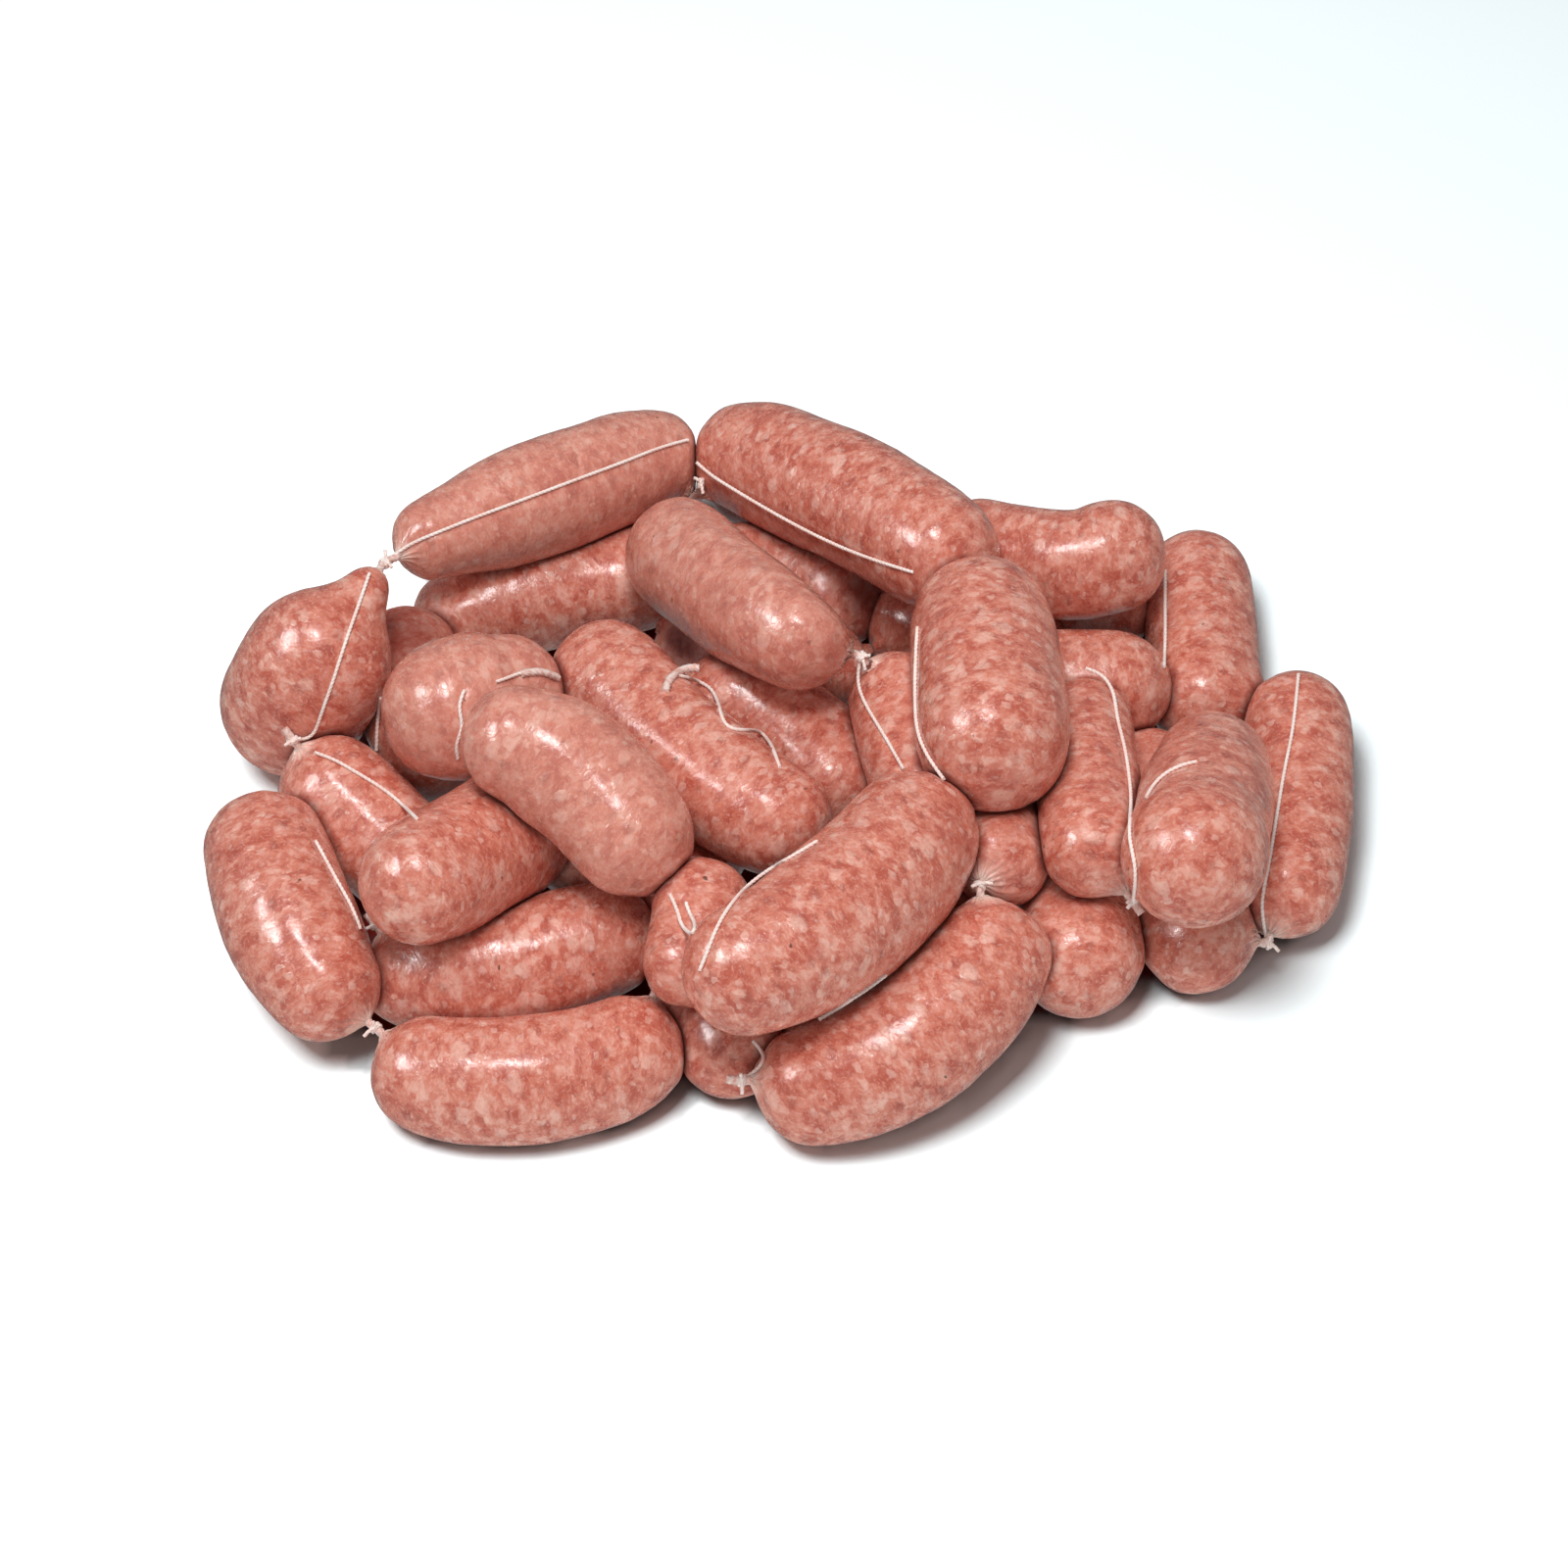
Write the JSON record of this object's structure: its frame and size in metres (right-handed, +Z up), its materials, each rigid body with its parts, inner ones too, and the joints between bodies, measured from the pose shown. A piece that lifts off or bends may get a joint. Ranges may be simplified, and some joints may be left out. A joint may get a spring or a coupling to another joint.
{
  "type": "string of fresh sausage links",
  "caption": "String of raw coarse pork sausage links in natural casing, tied off with cotton twine and let down in a low heap.",
  "frame": {"origin": "on the table under the middle of the heap's box", "axes": "+Z up from the table, +X to the viewer's right along the heap's length, -Y towards the viewer"},
  "size_m": [0.337, 0.2724, 0.0859],
  "materials": {
    "meat": "coarse pink-red minced pork with pale fat, seen through thin moist casing with a soft gloss",
    "meat_pale": "the same pork under a milkier, paler casing",
    "twine": "thin twisted cotton, off-white, stained faintly pink"
  },
  "bodies": {
    "root": {"link_back_left": "meat_pale", "link_back_middle": "meat", "link_back_right": "meat", "link_right_back": "meat", "link_right_side": "meat", "link_right_top": "meat", "link_crown_right": "meat", "link_crown_left": "meat_pale", "link_inner_back": "meat", "link_inner_middle": "meat", "link_long_middle": "meat", "link_left_top": "meat_pale", "link_left_hollow": "meat_pale", "link_left_side": "meat", "link_left_low": "meat", "link_left_front_back": "meat", "link_left_front_middle": "meat", "link_front_left": "meat", "link_corner_left": "meat", "link_front_top": "meat", "link_front_right": "meat", "link_front_notch": "meat", "link_front_gap": "meat", "link_right_gap": "meat", "link_corner_inner": "meat", "link_corner_right": "meat", "link_right_inner": "meat", "link_cross_back": "meat", "link_cross_gap": "meat", "link_back_left_inner": "meat", "link_left_under": "meat", "link_under_back_left": "meat", "link_under_back_middle": "meat", "link_under_back_right": "meat", "link_under_crown": "meat", "link_under_crown_right": "meat", "link_under_front": "meat", "link_under_left_top": "meat", "link_under_long": "meat", "twine_back_left": "twine", "twine_back_middle": "twine", "twine_right_back": "twine", "twine_right_side": "twine", "twine_right_top": "twine", "twine_crown_right": "twine", "twine_inner_middle": "twine", "twine_left_hollow": "twine", "twine_left_side": "twine", "twine_left_low": "twine", "twine_left_under": "twine", "twine_corner_left": "twine", "twine_front_top": "twine", "twine_front_gap": "twine", "twine_right_inner": "twine", "twine_cross_gap": "twine", "twine_notch": "twine", "tie_front_left": "twine", "tie_front": "twine", "tie_left_front": "twine", "tie_middle": "twine"}
  },
  "joints": []
}
